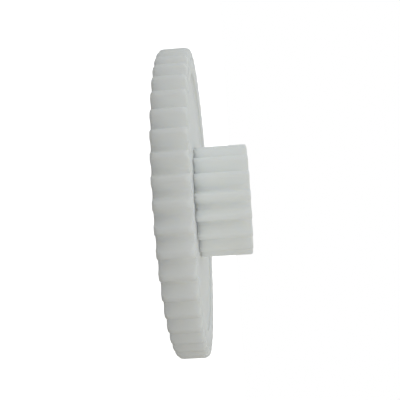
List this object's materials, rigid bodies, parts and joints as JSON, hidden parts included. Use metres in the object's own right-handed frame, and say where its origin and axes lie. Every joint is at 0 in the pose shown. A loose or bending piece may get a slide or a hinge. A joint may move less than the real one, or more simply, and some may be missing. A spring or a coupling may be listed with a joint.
{
  "type": "compound spur gear",
  "caption": "Compound spur gear: a large toothed wheel with a recessed web and a smaller pinion on one axis, bushed to turn on a clamped sleeve.",
  "frame": {"origin": "centre of the bearing sleeve's rear end, the lowest point of the part", "axes": "+Z along the common axis from the wheel towards the pinion; a tooth gap of both gears is centred on +X"},
  "size_m": [0.052, 0.052, 0.0134],
  "materials": {
    "natural_plastic": "natural white moulded acetal, slightly translucent, satin",
    "spring_steel": "oil-blacked spring steel",
    "sintered_bronze": "fine-grained sintered bronze, oiled",
    "ground_steel": "ground steel"
  },
  "bodies": {
    "spindle": {"bearing_sleeve": "ground_steel"},
    "gear": {"gear_wheel": "natural_plastic", "pinion": "natural_plastic", "retaining_ring": "spring_steel", "front_bush": "sintered_bronze", "rear_bush": "sintered_bronze"}
  },
  "joints": [
    {"name": "gear_spin", "type": "hinge", "parent": "spindle", "child": "gear", "pos_m": [0, 0, 0.0067], "axis": [0, 0, 1], "continuous": true}
  ]
}
